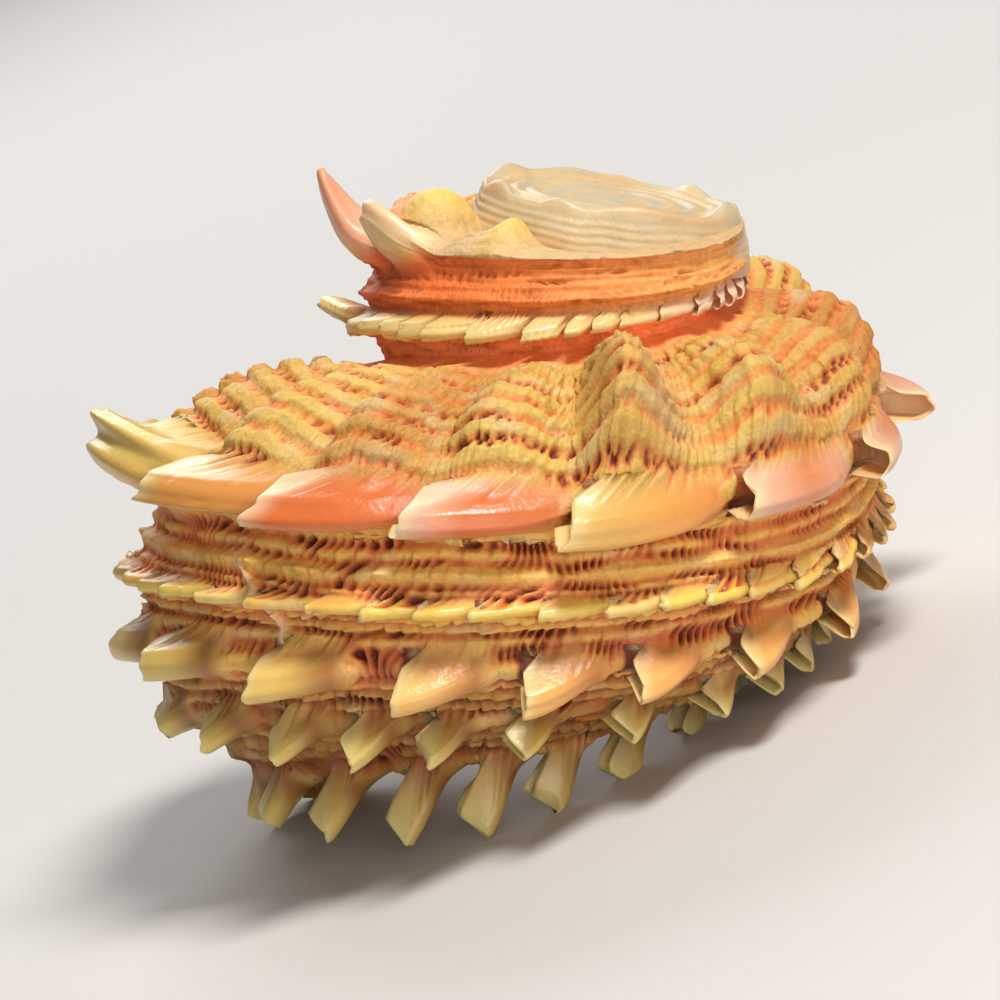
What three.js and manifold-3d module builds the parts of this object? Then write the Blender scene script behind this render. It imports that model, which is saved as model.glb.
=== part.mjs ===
// A dolphin snail shell: a heavy spiral shell with a flat worn spire, a spiny shoulder keel, more rows
// of spines down to the umbilicus, and a round mouth. It grew in one piece, so it is one solid.
// Units are millimetres. The shell is worked out about its own coiling axis, with the spire at +Z, and
// is then leaned over on to the spines and the lip that it comes to rest on.
import * as THREE from "three";
import { mergeVertices } from "three/addons/utils/BufferGeometryUtils.js";
import Module from "manifold-3d";

const wasm = await Module();
wasm.setup();

const rad = THREE.MathUtils.degToRad;
const lerp = THREE.MathUtils.lerp;
const smooth = THREE.MathUtils.smoothstep;

// How the spiral grows. A place on it is a number of turns back from the lip.
const KEEL_RADIUS = 28.8; // axis to shoulder keel, KEEL_RADIUS_TURN of a turn back from the lip
const KEEL_RADIUS_TURN = 1 / 12;
const GROWTH = 0.557; // natural log of the growth in a turn
const GROWTH_CHANGE = 0.081; // how much faster the young whorls widened
const YOUNG_RADIUS = 22.9; // the first whorls follow a slower spiral, which would reach the lip at this
const YOUNG_GROWTH = 0.5;
const LIP_AZIMUTH = 150; // degrees from +X, seen from the spire
const DROP_SLOPE = 1.14; // fall of the keel for each millimetre that it moves outwards
const DROP_STEEPENING = 0.006; // more fall for each square millimetre
const FLAT_TOP_RADIUS = 10.2; // the spire is flat inside this keel radius
const FLAT_TOP_SOFTNESS = 1.4;

// One turn of a whorl, cut through the axis, from the keel down to the umbilicus. Each point is its
// distance from the axis and its height over the keel, both as shares of the keel radius.
const FLANK = [
  [1.0, 0.0],
  [0.965, -0.06],
  [0.985, -0.18],
  [1.025, -0.265],
  [0.97, -0.33],
  [0.985, -0.44],
  [0.915, -0.51],
  [0.865, -0.595],
  [0.765, -0.66],
  [0.61, -0.75],
  [0.5, -0.74],
];
const SPINE_ROW = -0.44; // height of the flank's main row of spines
const YOUNG_RISE = 0.18; // on the spire that row stands higher, by this share of its height
const INNER_STEPS = 3;
const INNER_BOW = 0.12; // how far the umbilicus bows into the whorl's inner wall
const SUTURE = [0.85, -0.5]; // where a whorl joins the one before it, on that one's own flank
const WORN_SUTURE = -0.15; // the oldest sutures are worn almost level with the keel
const BURIED = [0.72, -0.42]; // the inner edge of a whorl, buried in the base of the one before
const RAMP_STEPS = 5;
const RAMP_BULGE = [0.06, 0.15]; // of the newest ramp, and of all from half a turn back
const FOLD_HEIGHT = [0.07, 0.12]; // of the folds that run across the ramp to each shoulder spine

// Distance from the axis to the keel.
function keelRadius(turns) {
  const t = turns - KEEL_RADIUS_TURN;
  const grown = KEEL_RADIUS * Math.exp(-GROWTH * t - GROWTH_CHANGE * Math.sign(t) * t * t);
  return Math.max(grown, YOUNG_RADIUS * Math.exp(-YOUNG_GROWTH * turns));
}

// Height of the keel: level while the shell is small, and then falling in step with its radius.
function keelHeight(turns) {
  const x = keelRadius(turns) - FLAT_TOP_RADIUS;
  const fall = (x + Math.hypot(x, FLAT_TOP_SOFTNESS)) / 2;
  return -(DROP_SLOPE + DROP_STEEPENING * fall) * fall;
}

function azimuth(turns) {
  return rad(LIP_AZIMUTH) + 2 * Math.PI * turns;
}

// A point of the section, as [distance from the axis, height].
function sectionPoint(turns, [out, up]) {
  const r = keelRadius(turns);
  return [out * r, keelHeight(turns) + up * r];
}

// The same for a point of the flank, which is lower on the spire.
function flankPoint(turns, [out, up]) {
  const rise = YOUNG_RISE * smooth(turns, 0.7, 1);
  return sectionPoint(turns, [out, up - rise * Math.max(up, SPINE_ROW)]);
}

function toSpace(turns, [r, z]) {
  const a = azimuth(turns);
  return new THREE.Vector3(r * Math.cos(a), r * Math.sin(a), z);
}

// The shoulder spines, from the lip back. Each has the degrees since the last one, then its reach and
// its rise as shares of the keel radius, its thickness, and how far it leans the way that the shell grew.
const SHOULDER = [
  { gap: 15, reach: 0.1, rise: 0.04, thick: 0.11, lean: 0.12 },
  { gap: 23, reach: 0.19, rise: 0.06, thick: 0.14, lean: 0.12 },
  { gap: 24, reach: 0.14, rise: -0.05, thick: 0.13, lean: 0.2 },
  { gap: 22, reach: 0.13, rise: -0.07, thick: 0.14, lean: 0.19 },
  { gap: 22, reach: 0.13, rise: -0.06, thick: 0.15, lean: 0.17 },
  { gap: 22, reach: 0.14, rise: -0.09, thick: 0.15, lean: 0.15 },
  { gap: 26, reach: 0.13, rise: -0.03, thick: 0.14, lean: 0.11 },
  { gap: 31, reach: 0.14, rise: 0.0, thick: 0.13, lean: 0.1 },
  { gap: 30, reach: 0.2, rise: 0.03, thick: 0.17, lean: 0.05 },
  { gap: 30, reach: 0.15, rise: 0.0, thick: 0.14, lean: 0.12 },
  { gap: 30, reach: 0.14, rise: -0.02, thick: 0.13, lean: 0.14 },
  { gap: 30, reach: 0.15, rise: 0.02, thick: 0.13, lean: 0.14 },
  { gap: 29, reach: 0.14, rise: 0.0, thick: 0.13, lean: 0.14 },
  { gap: 31, reach: 0.17, rise: 0.05, thick: 0.13, lean: 0.12 },
  { gap: 31, reach: 0.3, rise: 0.32, thick: 0.11, lean: 0.14 },
  { gap: 18, reach: 0.16, rise: 0.18, thick: 0.15, lean: 0.14 },
  { gap: 26, reach: 0.0, rise: 0.0, thick: 0.1, lean: 0.1 },
  { gap: 30, reach: 0.0, rise: 0.0, thick: 0.1, lean: 0.1 },
];

const SHOULDER_TURNS = SHOULDER.map((_, n) =>
  SHOULDER.slice(0, n + 1).reduce((sum, { gap }) => sum + gap / 360, 0),
);

// A fold runs across the ramp to each shoulder spine: 1 on its crest and 0 between two.
function fold(turns) {
  const after = SHOULDER_TURNS.findIndex((t) => t >= turns);
  if (after < 1) return 0;
  const [a, b] = [SHOULDER_TURNS[after - 1], SHOULDER_TURNS[after]];
  return (1 + Math.cos((2 * Math.PI * (turns - a)) / (b - a))) / 2;
}

// Where a whorl meets the outside of the one before it.
function suture(turns) {
  const before = turns + 1;
  const [out, up] = SUTURE;
  return sectionPoint(before, [out, lerp(up, WORN_SUTURE, smooth(before, 2.3, 2.7))]);
}

// The sloping shoulder from the suture, at share 0, to the keel, at share 1.
function rampPoint(turns, share) {
  const [from, to] = [suture(turns), sectionPoint(turns, [1, 0])];
  const age = smooth(turns, 0.1, 0.6) * (1 - smooth(turns, 1, 1.4));
  const swell = lerp(...RAMP_BULGE, age) + lerp(...FOLD_HEIGHT, age) * (fold(turns) - 0.4);
  const lift = swell * keelRadius(turns) * Math.sin(Math.PI * share ** 1.4);
  return [lerp(from[0], to[0], share) + 0.5 * lift, lerp(from[1], to[1], share) + 0.87 * lift];
}

// The inner wall, from the base at share 0 up to its buried edge at share 1.
function innerPoint(turns, share) {
  const from = flankPoint(turns, FLANK.at(-1));
  const to = sectionPoint(turns + 1, BURIED);
  const bow = INNER_BOW * keelRadius(turns) * Math.sin(Math.PI * share);
  return [lerp(from[0], to[0], share) - bow, lerp(from[1], to[1], share)];
}

// The whole outline of a whorl at one place, once round.
function outline(turns) {
  const ramp = Array.from({ length: RAMP_STEPS }, (_, i) => rampPoint(turns, i / RAMP_STEPS));
  const flank = FLANK.map((p) => flankPoint(turns, p));
  const inner = Array.from({ length: INNER_STEPS }, (_, i) => innerPoint(turns, (i + 1) / INNER_STEPS));
  return [...ramp, ...flank, ...inner];
}

// A ring's points in its own plane, anticlockwise.
function flattened(ring) {
  const centre = ring.reduce((s, p) => s.add(p), new THREE.Vector3()).divideScalar(ring.length);
  const spokes = ring.map((p) => p.clone().sub(centre));
  const normal = new THREE.Vector3();
  spokes.forEach((p, i) => normal.add(p.clone().cross(spokes[(i + 1) % ring.length])));
  const x = spokes[0].clone().normalize();
  const y = normal.normalize().clone().cross(x);
  return spokes.map((p) => new THREE.Vector2(p.dot(x), p.dot(y)));
}

// A solid through rings of points, with a flat face on each end.
function loft(rings) {
  const n = rings[0].length;
  const faces = [];
  for (let j = 0; j + 1 < rings.length; j++)
    for (let i = 0; i < n; i++) {
      const [a, b] = [j * n + i, j * n + ((i + 1) % n)];
      faces.push([a, b, a + n], [b, b + n, a + n]);
    }
  const last = (rings.length - 1) * n;
  for (const [a, b, c] of THREE.ShapeUtils.triangulateShape(flattened(rings[0]), [])) faces.push([c, b, a]);
  for (const [a, b, c] of THREE.ShapeUtils.triangulateShape(flattened(rings.at(-1)), []))
    faces.push([last + a, last + b, last + c]);
  const made = solid(rings.flat(), faces);
  return made.volume() > 0 ? made : solid(rings.flat(), faces.map((f) => f.toReversed()));
}

function solid(points, faces) {
  const mesh = new wasm.Mesh({
    numProp: 3,
    vertProperties: new Float32Array(points.flatMap((p) => p.toArray())),
    triVerts: new Uint32Array(faces.flat()),
  });
  return new wasm.Manifold(mesh);
}

function joined(solids) {
  return solids.reduce((all, s) => all.add(s));
}

// The hollow that the animal lived in, as shares of the keel radius, open about as far as can be seen in.
const HOLLOW = { centre: [0.655, -0.2], radii: [0.265, 0.43], slant: 0.1, turns: 0.29, sides: 12, steps: 8 };

// Whorls, as half-turn lengths. Each has a slightly smaller tongue that runs into the length before it.
const LENGTH_STEPS = [24, 18, 12, 8, 6, 4]; // the young ones are plainer
const TONGUE = { turns: 0.02, size: 0.85 };

function whorls() {
  const place = (turns, size = 1) => {
    const middle = sectionPoint(turns, HOLLOW.centre);
    return outline(turns).map(([r, z]) => toSpace(turns, [lerp(middle[0], r, size), lerp(middle[1], z, size)]));
  };
  return joined(
    LENGTH_STEPS.map((steps, half) => {
      const start = half / 2;
      const rings = Array.from({ length: steps + 1 }, (_, i) => place(start + i / steps / 2));
      return loft(half > 0 ? [place(start - TONGUE.turns, TONGUE.size), ...rings] : rings);
    }),
  );
}

// The middle of the spire, where the oldest whorls are worn into one blunt knob. Its rings are radius
// and height, from the roof of the umbilicus up to the tip.
const CORE = [
  [4.4, -10],
  [6.3, -6.8],
  [6.1, -4.6],
  [4.6, 0.1],
];
const CORE_SIDES = 14;

function core() {
  const circle = ([radius, z]) =>
    Array.from({ length: CORE_SIDES }, (_, i) => {
      const a = (2 * Math.PI * i) / CORE_SIDES;
      return new THREE.Vector3(radius * Math.cos(a), radius * Math.sin(a), z);
    });
  return loft(CORE.map(circle));
}

function hollow() {
  const rings = Array.from({ length: HOLLOW.steps + 1 }, (_, j) => {
    const share = j / HOLLOW.steps;
    const turns = share * HOLLOW.turns - 0.012;
    const narrow = lerp(0.03, 1, Math.sqrt(1 - share ** 6));
    return Array.from({ length: HOLLOW.sides }, (_, i) => {
      const a = (2 * Math.PI * i) / HOLLOW.sides;
      const out = HOLLOW.radii[0] * Math.cos(a) - HOLLOW.slant * Math.sin(a);
      const up = HOLLOW.radii[1] * Math.sin(a);
      return toSpace(turns, sectionPoint(turns, [HOLLOW.centre[0] + narrow * out, HOLLOW.centre[1] + narrow * up]));
    });
  });
  return loft(rings);
}

// A spine is a horn that lifts off the whorl along the way it grew and then turns outwards. Its root is
// at, in the section; it points outward and up by out and up. All are shares of the keel radius.
const HORN_SIZES = [0.45, 0.9, 1, 0.85, 0.55];
const SMALL_HORN_SIZES = [0.5, 1, 0.8, 0.45];

function horn({ turns, at, out, up, lean, back, wide, thick, sides = 6, sizes = HORN_SIZES }) {
  const r = keelRadius(turns);
  const a = azimuth(turns);
  const outward = new THREE.Vector3(Math.cos(a), Math.sin(a), 0);
  const forward = new THREE.Vector3(Math.sin(a), -Math.cos(a), 0);
  const upward = new THREE.Vector3(0, 0, 1);
  const place = (o, f, u) =>
    toSpace(turns, flankPoint(turns, at))
      .addScaledVector(outward, o * r)
      .addScaledVector(forward, f * r)
      .addScaledVector(upward, u * r);
  const path = new THREE.CubicBezierCurve3(
    place(-0.05, -back, 0),
    place(0.02, -0.2 * back, 0),
    place(0.45 * out, 0.5 * lean, 0.3 * up),
    place(out, lean, up),
  );
  const across = new THREE.Vector3().crossVectors(
    outward.clone().multiplyScalar(Math.max(out, 0.05)).addScaledVector(upward, up),
    forward,
  );
  across.normalize();
  const rings = sizes.map((size, k) => {
    const share = k / (sizes.length - 1);
    const centre = path.getPoint(share);
    const way = path.getTangent(share);
    const side = way.clone().cross(across).normalize();
    return Array.from({ length: sides }, (_, i) => {
      const b = (2 * Math.PI * i) / sides;
      return centre
        .clone()
        .addScaledVector(across, 0.5 * thick * size * r * Math.cos(b))
        .addScaledVector(side, 0.5 * wide * size * r * Math.sin(b));
    });
  });
  return loft(rings);
}

function shoulderHorns() {
  return SHOULDER.flatMap(({ reach, rise, thick, lean }, n) =>
    reach > 0
      ? horn({
          turns: SHOULDER_TURNS[n], at: [0.95, -0.01], out: reach + 0.05, up: rise,
          lean, back: 0.22, wide: 0.13, thick: 1.15 * thick,
        })
      : [],
  );
}

// The rows of spines below the keel, each with its first gap from the lip and its spacing, in degrees.
const ROWS = [
  { count: 21, first: 20, gap: 20, at: [0.95, -0.44], out: 0.18, up: -0.1, lean: 0.15, back: 0.16, wide: 0.12, thick: 0.13 },
  { count: 22, first: 14, gap: 15.5, at: [0.83, -0.6], out: 0.15, up: -0.15, lean: 0.08, back: 0.09, wide: 0.1, thick: 0.11 },
  { count: 17, first: 16, gap: 19, at: [0.6, -0.7], out: 0.08, up: -0.2, lean: 0.08, back: 0.08, wide: 0.11, thick: 0.12 },
];
const NEW_SPINE = 0.5; // the spines nearest the lip are the shortest, by this

// A little unevenness that is the same at every run.
function uneven(n) {
  return 1 + 0.18 * Math.sin(12.9 * n) + 0.07 * Math.cos(7.1 * n);
}

function rowHorns({ count, first, gap, out, up, ...rest }) {
  return Array.from({ length: count }, (_, n) => {
    const turns = (first + gap * n) / 360;
    const grown = lerp(NEW_SPINE, 1.05, smooth(turns, 0, 0.35));
    const [o, u] = [out * grown * uneven(n), up * grown * uneven(n + 3)];
    return horn({ ...rest, turns, out: o, up: u, sides: 5, sizes: SMALL_HORN_SIZES });
  });
}

// How the shell comes to rest on its lower spines and the base of its lip: it leans about X and then
// about Y, and is set down with its origin under the middle of its box. What would reach below z = 0 is
// worn away, so that it stands on small flats.
const LEAN_X = -5;
const LEAN_Y = 29;
const SET_DOWN = [14.55, 5.98, 35.26];

const rest = new THREE.Matrix4()
  .makeRotationFromEuler(new THREE.Euler(rad(LEAN_X), rad(LEAN_Y), 0, "YXZ"))
  .setPosition(...SET_DOWN);

// Everything below the ground, in the shell's own frame.
function ground() {
  const box = new THREE.BoxGeometry(160, 160, 20).translate(0, 0, -10).applyMatrix4(rest.clone().invert());
  box.deleteAttribute("normal").deleteAttribute("uv");
  const { attributes, index } = mergeVertices(box);
  const corners = Array.from({ length: attributes.position.count }, (_, i) =>
    new THREE.Vector3().fromBufferAttribute(attributes.position, i),
  );
  return solid(corners, [...index.array]);
}

function shell() {
  const grown = joined([whorls(), core(), ...shoulderHorns(), ...ROWS.flatMap(rowHorns)]);
  const { vertProperties, triVerts } = grown.subtract(hollow()).subtract(ground()).getMesh();
  return new THREE.BufferGeometry()
    .setAttribute("position", new THREE.BufferAttribute(new Float32Array(vertProperties), 3))
    .setIndex(new THREE.BufferAttribute(new Uint32Array(triVerts), 1));
}

const mesh = new THREE.Mesh(
  shell(),
  new THREE.MeshStandardMaterial({ color: 0xd9a066, roughness: 0.55, metalness: 0 }),
);
mesh.name = "shell";

const group = new THREE.Group();
group.add(mesh);
group.applyMatrix4(rest);

export default group;
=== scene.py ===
# %% [markdown]
# # A dolphin snail shell
#
# This file dresses a plain solid of a sea snail's shell in its real surface. The shell is one piece: a
# heavy coil with a flat, worn spire, a sloping shoulder covered in scaly cords, a keel of rolled
# spines, and three more rows of them down to the navel.
#
# Lengths are millimetres while the shell is worked out about its own coiling axis. The last step of
# each surface leans it over on to the spines that it rests on and turns it into metres.

# %% Load the solid
import math

import bmesh
import bpy
import numpy as np
from mathutils import Matrix, Vector


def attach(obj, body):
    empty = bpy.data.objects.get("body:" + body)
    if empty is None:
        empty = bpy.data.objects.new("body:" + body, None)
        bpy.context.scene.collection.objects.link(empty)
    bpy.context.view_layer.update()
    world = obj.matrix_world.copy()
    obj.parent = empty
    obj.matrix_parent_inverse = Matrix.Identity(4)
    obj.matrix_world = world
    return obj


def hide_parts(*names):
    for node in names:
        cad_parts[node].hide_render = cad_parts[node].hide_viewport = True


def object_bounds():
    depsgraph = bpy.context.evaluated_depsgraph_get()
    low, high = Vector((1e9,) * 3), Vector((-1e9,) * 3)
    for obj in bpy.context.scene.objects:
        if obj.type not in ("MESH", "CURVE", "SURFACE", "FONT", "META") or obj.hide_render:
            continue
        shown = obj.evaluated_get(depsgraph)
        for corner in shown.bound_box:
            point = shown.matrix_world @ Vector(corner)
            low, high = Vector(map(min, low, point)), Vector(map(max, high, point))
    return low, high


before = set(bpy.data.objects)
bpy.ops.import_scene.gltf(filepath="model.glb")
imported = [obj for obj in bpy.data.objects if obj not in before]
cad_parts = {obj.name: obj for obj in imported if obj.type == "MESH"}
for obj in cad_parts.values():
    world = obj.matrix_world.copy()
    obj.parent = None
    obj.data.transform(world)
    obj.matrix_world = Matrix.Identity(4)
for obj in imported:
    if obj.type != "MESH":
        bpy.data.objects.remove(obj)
cad_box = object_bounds()
print("solids:", sorted(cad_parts))

# %% [markdown]
# ## How the shell grows
#
# A snail adds shell at its lip while it turns about an axis, so every place on the shell is a number of
# turns back from the lip and a place across the whorl. The distance from the axis to the keel shrinks
# by the same share in every turn, and the keel's height follows that distance.

# %% The spiral
LIP_AZIMUTH = math.radians(150)
FRONT_RADIUS = 28.8
SHRINK, TIGHTEN = 0.557, 0.081
OLD_RADIUS, OLD_SHRINK = 22.9, 0.5
LEVEL_RADIUS, CORNER = 10.2, 1.4
FALL, FALL_GAIN = 1.14, 0.006


def smooth(x, low, high):
    """0 below low, 1 above high, and an S-shaped curve between them."""
    t = np.clip((x - low) / (high - low), 0, 1)
    return t * t * (3 - 2 * t)


def mix(a, b, share):
    """a where share is 0 and b where it is 1."""
    return a + (b - a) * share


def keel_radius(turns):
    """The radius a twelfth of a turn back, times e to a slope times the turns from there.

    The oldest whorls follow a slower spiral."""
    t = turns - 1 / 12
    grown = FRONT_RADIUS * np.exp(-SHRINK * t - TIGHTEN * np.sign(t) * t * t)
    return np.maximum(grown, OLD_RADIUS * np.exp(-OLD_SHRINK * turns))


def keel_height(turns):
    """0 inside the level radius, and then a fall a little steeper than the radius's gain."""
    x = keel_radius(turns) - LEVEL_RADIUS
    fall = (x + np.hypot(x, CORNER)) / 2
    return -(FALL + FALL_GAIN * fall) * fall


def curve(points, place):
    """A Catmull-Rom curve through points; place 2.5 is halfway between points 2 and 3."""
    points = np.asarray(points, float)
    last = len(points) - 1
    i = np.clip(np.floor(place).astype(int), 0, last - 1)
    t = (place - i)[..., None]
    a, b = points[np.maximum(i - 1, 0)], points[i]
    c, d = points[i + 1], points[np.minimum(i + 2, last)]
    bend, twist = 2 * a - 5 * b + 4 * c - d, 3 * b - a - 3 * c + d
    return 0.5 * (2 * b + (c - a) * t + bend * t**2 + twist * t**3)


print("keel radius at the lip and one turn back:", keel_radius(np.array([0.0, 1.0])).round(1))

# %% [markdown]
# ## The whorl cut through
#
# Across the whorl a place runs from 0 at the suture, over the ramp to 1 at the keel, down the flank to
# 11 at the edge of the navel, and up its wall to 14. The section could be drawn once and swept, but a
# real one changes as it grows: folds run up the ramp to the spines, and the oldest whorls are worn. So
# it is a formula of the turn and the place. Flank points are shares of the keel radius.

# %% The section
FLANK = [
    (1.0, 0.0), (0.965, -0.06), (0.985, -0.18), (1.025, -0.265), (0.97, -0.33), (0.985, -0.44),
    (0.915, -0.51), (0.865, -0.595), (0.765, -0.66), (0.61, -0.75), (0.5, -0.74),
]
KEEL, CORD_ROW, SECOND, THIRD, FOURTH, NAVEL = 1, 4, 6, 8, 10, 11

# The shoulder spines from the lip back: degrees since the last, reach, rise and lean as shares of the
# keel radius.
SHOULDER = np.array([
    (15, 0.10, 0.04, 0.12), (23, 0.20, 0.08, 0.10), (24, 0.14, -0.05, 0.20), (22, 0.13, -0.07, 0.19),
    (22, 0.13, -0.06, 0.17), (22, 0.14, -0.09, 0.15), (26, 0.13, -0.03, 0.11), (31, 0.14, 0.00, 0.10),
    (30, 0.20, 0.03, 0.05), (30, 0.15, 0.00, 0.12), (30, 0.14, -0.02, 0.14), (30, 0.15, 0.02, 0.14),
    (29, 0.14, 0.00, 0.14), (31, 0.17, 0.05, 0.12), (31, 0.30, 0.32, 0.14), (18, 0.16, 0.18, 0.14),
    (26, 0.02, 0.02, 0.05), (30, 0.02, 0.02, 0.05),
])
SHOULDER_TURNS = np.cumsum(SHOULDER[:, 0]) / 360
# Folds that stand above the rest: the turn, how wide along the growth, and by how much.
TALL_FOLDS = ((0.356, 0.035, 1.7), (0.43, 0.03, 0.6))
PEAK = 0.66


def fold(turns):
    """1 on the crest of the fold that runs up to each shoulder spine and 0 between two."""
    after = np.clip(np.searchsorted(SHOULDER_TURNS, turns), 1, len(SHOULDER_TURNS) - 1)
    a, b = SHOULDER_TURNS[after - 1], SHOULDER_TURNS[after]
    inside = (turns > SHOULDER_TURNS[0]) & (turns < SHOULDER_TURNS[-1])
    steep = 1
    for at, wide, gain in TALL_FOLDS:
        steep = steep + gain * np.exp(-(((turns - at) / wide) ** 2))
    far = (turns - a) / (b - a)
    far = np.where(far < PEAK, far / (2 * PEAK), 1 - (1 - far) / (2 - 2 * PEAK))
    crest = (1 + np.cos(2 * np.pi * far)) / 2
    return inside * crest ** (0.8 + 0.2 * steep) * steep * (1 - smooth(turns, 1.16, 1.28))


def flank(turns, place):
    """Radius and height of a flank place: the table's shares times the keel radius."""
    out, up = np.moveaxis(curve(FLANK, np.clip(place - KEEL, 0, 10)), -1, 0)
    up = up - 0.18 * smooth(turns, 0.7, 1) * np.maximum(up, -0.44)
    return out * keel_radius(turns), keel_height(turns) + up * keel_radius(turns)


def ramp(turns, share):
    """A straight slope from the suture to the keel, plus a half sine that is higher on the folds."""
    before = turns + 1
    low = mix(-0.5, -0.15, smooth(before, 2.3, 2.7))
    r0, z0 = 0.85 * keel_radius(before), keel_height(before) + low * keel_radius(before)
    age = smooth(turns, 0.1, 0.6) * (1 - smooth(turns, 1, 1.4))
    swell = mix(0.06, 0.15, age) + mix(0.07, 0.12, age) * (fold(turns) - 0.4)
    lift = swell * keel_radius(turns) * np.sin(np.pi * share**1.4)
    radius = mix(r0, keel_radius(turns), share) + 0.5 * lift
    return radius, mix(z0, keel_height(turns), share) + 0.87 * lift


def navel_wall(turns, share):
    """From the navel's edge up into the whorl before, less a half sine that bows it."""
    r0, z0 = flank(turns, np.full_like(turns, NAVEL))
    r1 = 0.72 * keel_radius(turns + 1)
    z1 = keel_height(turns + 1) - 0.42 * keel_radius(turns + 1)
    bow = 0.12 * keel_radius(turns) * np.sin(np.pi * share)
    return mix(r0, r1, share) - bow, mix(z0, z1, share)


def section(turns, place):
    """Radius and height of any place across the whorl."""
    turns, place = np.broadcast_arrays(np.asarray(turns, float), np.asarray(place, float))
    on_ramp = ramp(turns, np.clip(place, 0, KEEL))
    on_flank = flank(turns, place)
    on_wall = navel_wall(turns, np.clip((place - NAVEL) / 3, 0, 1))
    pick = [place < KEEL, place <= NAVEL]
    radius, height = (np.select(pick, [a, b], c) for a, b, c in zip(on_ramp, on_flank, on_wall))
    worn = smooth(turns, 1.6, 1.95)
    return radius - 0.9 * worn, height - 1.7 * worn


def in_space(turns, radius, height):
    """The radius is turned about the axis by 150 degrees plus a whole circle for each turn."""
    a = LIP_AZIMUTH + 2 * np.pi * turns
    return np.stack(np.broadcast_arrays(radius * np.cos(a), radius * np.sin(a), height), -1)


print("shoulder spines:", len(SHOULDER), "in", SHOULDER_TURNS[-1].round(2), "turns")

# %% [markdown]
# ## Rolled spines
#
# A spine is a fold of the growing lip: its back rises slowly out of the whorl, its tip hangs over the
# new shell, and the side that faces the lip stays open. A cone stuck on the shell would be simpler, but
# it would show a seam and no hollow. So each spine is a pull on the shell's own surface. Along the
# growth the surface is carried over a sheet's two sides: up the back, round the tip, down the open
# side, and on along the whorl in front.

# %% One spine's outline
def bezier(p0, p1, p2, p3, t):
    """A cubic Bezier curve; the points are pairs of arrays."""
    weights = ((1 - t) ** 3, 3 * t * (1 - t) ** 2, 3 * t * t * (1 - t), t**3)
    return [sum(w * p[k] for w, p in zip(weights, (p0, p1, p2, p3))) for k in (0, 1)]


TIP_LENGTH = 0.25
OPEN_LENGTH = 1.1


def rolled(p, lean, reach, back, foot, wall, depth, hollow, early, stand):
    """Where a place p millimetres ahead of the spine is carried to, as (forward, outward).

    A lying spine (stand 0) points to the lip and a standing one (stand 1) straight out. The end of its
    walls is cut across that way, wall millimetres wide, and the hollow goes depth millimetres back."""
    zero = np.zeros_like(lean)
    size = np.hypot(1 - stand, stand)
    way = ((1 - stand) / size, stand / size)
    cut = (way[1] * wall, -way[0] * wall)
    tip = (lean - 0.5 * cut[0], reach)
    end = (tip[0] + cut[0], tip[1] + cut[1])
    run = 0.45 * np.hypot(lean, reach)
    rise = (-mix(0.45, 0.85, early) * back, mix(0.1, 0.6, early) * reach)
    bent = (tip[0] - run * way[0], tip[1] - run * way[1])
    on_back = bezier((-back, zero), rise, bent, tip, np.clip((p + back) / back, 0, 1))
    on_back[0] = on_back[0] + np.minimum(p + back, 0)
    edge = [mix(e, t + 0.12 * c, hollow) for e, t, c in zip(end, tip, cut)]
    t = np.clip((p - TIP_LENGTH) / (OPEN_LENGTH - TIP_LENGTH), 0, 1)
    under = (end[0] - run * way[0], np.maximum(end[1] - run * way[1], 0.15 * reach))
    wall_line = bezier(edge, under, (0.3 * foot, 0.3 * reach), (0.35 * foot, zero), t)
    inner = (tip[0] - depth * way[0] + 0.2 * cut[0], tip[1] - depth * way[1] + 0.2 * cut[1])
    inside = bezier(edge, inner, (-0.5 * depth, 0.35 * reach), (-0.5 * depth, zero), t)
    on_open = [mix(w, i, hollow) for w, i in zip(wall_line, inside)]
    ahead = np.clip((p - OPEN_LENGTH) / (foot - OPEN_LENGTH), 0, 1)
    start = mix(0.35 * foot, -0.5 * depth, hollow)
    on_foot = [mix(start, foot, ahead), -0.2 * hollow * np.sin(np.pi * ahead)]
    on_foot[0] = on_foot[0] + np.maximum(p - foot, 0)
    round_tip = np.clip(p / TIP_LENGTH, 0, 1)
    on_tip = [mix(a, e, round_tip) for a, e in zip(tip, edge)]
    pick = [p < 0, p < TIP_LENGTH, p < OPEN_LENGTH]
    return [np.select(pick, [a, b, c], d) for a, b, c, d in zip(on_back, on_tip, on_open, on_foot)]


print("the tip takes", TIP_LENGTH, "mm of the sheet and the open side goes on to", OPEN_LENGTH, "mm")

# %% [markdown]
# ## Rows of spines
#
# A row of spines is a list of them with their sizes. Every line across the whorl belongs to one spine:
# the one whose back it lies on. The pull is full in the middle of the spine and fades to nothing at its
# sides, so the skin between two rows stays where it was. A raised spine is also bent round into a half
# tube, as a sheet of paper is when its two edges are pushed together.

# %% A row's pull on the surface
FOOT = 2.0


def row_of(turns, station, reach, rise, lean, half_width, back, depth, wall=2.0, fork=0.0, early=0.5,
           skew=0.0, stand=0.0, foot=FOOT, curl=0.0, tuck=0.35):
    """Spines at the given turns; lengths are in millimetres, and each may be an array.

    reach goes out from the axis, rise up and lean towards the lip; back is the length of the rising
    side and foot the length of the ground in front. early makes the back rise at once, skew leans one
    side more, stand lifts the spine's way from along the shell to straight out, curl bows it up, and
    tuck turns one edge in further than the other."""
    turns = np.asarray(turns, float)
    sizes = dict(reach=reach, rise=rise, lean=lean, half_width=half_width, back=back, depth=depth,
                 wall=wall, fork=fork, early=early, skew=skew, stand=stand, curl=curl, tuck=tuck)
    return dict(turns=turns, station=station, foot=foot,
                **{k: np.broadcast_to(np.asarray(v, float), turns.shape) for k, v in sizes.items()})


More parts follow.
